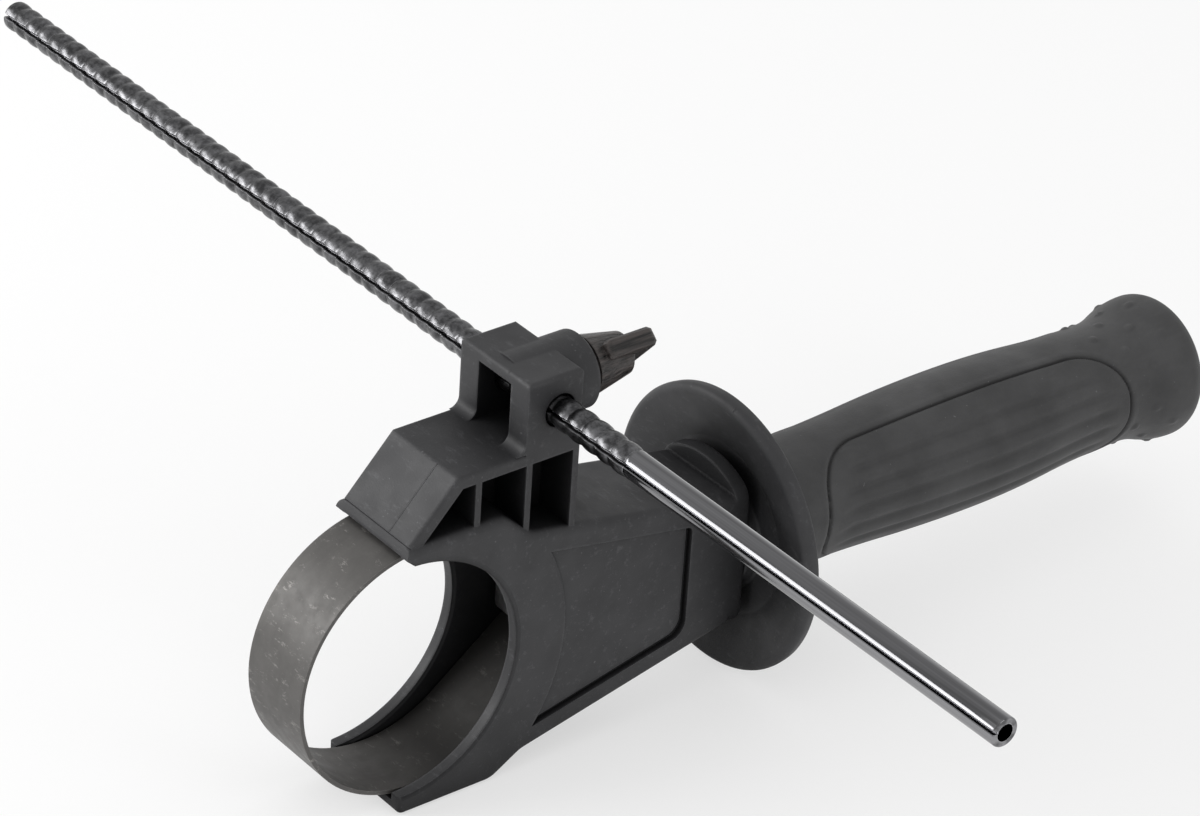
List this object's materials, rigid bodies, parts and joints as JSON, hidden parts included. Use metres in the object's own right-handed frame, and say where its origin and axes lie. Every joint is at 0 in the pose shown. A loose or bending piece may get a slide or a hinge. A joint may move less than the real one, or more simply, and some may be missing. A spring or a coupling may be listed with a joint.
{
  "type": "power tool side handle",
  "caption": "Side handle for a rotary hammer: a collar with a steel band that closes round the tool's neck, a turning grip and a depth gauge rod held by a thumb screw.",
  "frame": {"origin": "middle of the collar, on the axis of the tool's neck", "axes": "+X runs along the grip away from the neck, +Y runs along the neck and the depth rod towards the rod's ridged end, +Z points from the collar up to the rod's tower"},
  "size_m": [0.2611, 0.3611, 0.0998],
  "materials": {
    "moulded_plastic": "matte",
    "band_steel": "satin",
    "fastener_steel": "satin",
    "rod_steel": "gloss",
    "grip_rubber": "matte",
    "knob_plastic": "satin"
  },
  "bodies": {
    "bracket": {"bracket": "moulded_plastic", "thumb_screw_nut": "fastener_steel"},
    "grip": {"grip_core": "moulded_plastic", "grip_nut": "fastener_steel", "grip_sleeve": "grip_rubber"},
    "clamp": {"clamp_band": "band_steel", "clamp_bolt": "fastener_steel"},
    "rod": {"depth_rod": "rod_steel"},
    "screw": {"thumb_screw_stud": "fastener_steel"},
    "knob": {"thumb_screw_knob": "knob_plastic"}
  },
  "joints": [
    {"name": "grip_turn", "type": "hinge", "parent": "bracket", "child": "grip", "pos_m": [0.095, 0, 0], "axis": [1, 0, 0], "range_deg": [0, 1843.2]},
    {"name": "band_release", "type": "slide", "parent": "bracket", "child": "clamp", "axis": [-1, 0, 0], "range_m": [0, 0.00641]},
    {"name": "rod_slide", "type": "slide", "parent": "bracket", "child": "rod", "axis": [0, 1, 0], "range_m": [-0.18, 0.14]},
    {"name": "thumb_screw_back_off", "type": "slide", "parent": "bracket", "child": "screw", "axis": [1, 0, 0], "range_m": [0, 0.003]},
    {"name": "thumb_screw_turn", "type": "hinge", "parent": "screw", "child": "knob", "pos_m": [0.0545, 0, 0.056], "axis": [1, 0, 0], "range_deg": [0, 1081]}
  ],
  "couplings": [
    {"joint": "band_release", "follows": "grip_turn", "m_per_rad": 0.00019894},
    {"joint": "thumb_screw_turn", "follows": "thumb_screw_back_off", "rad_per_m": 6283.2}
  ]
}
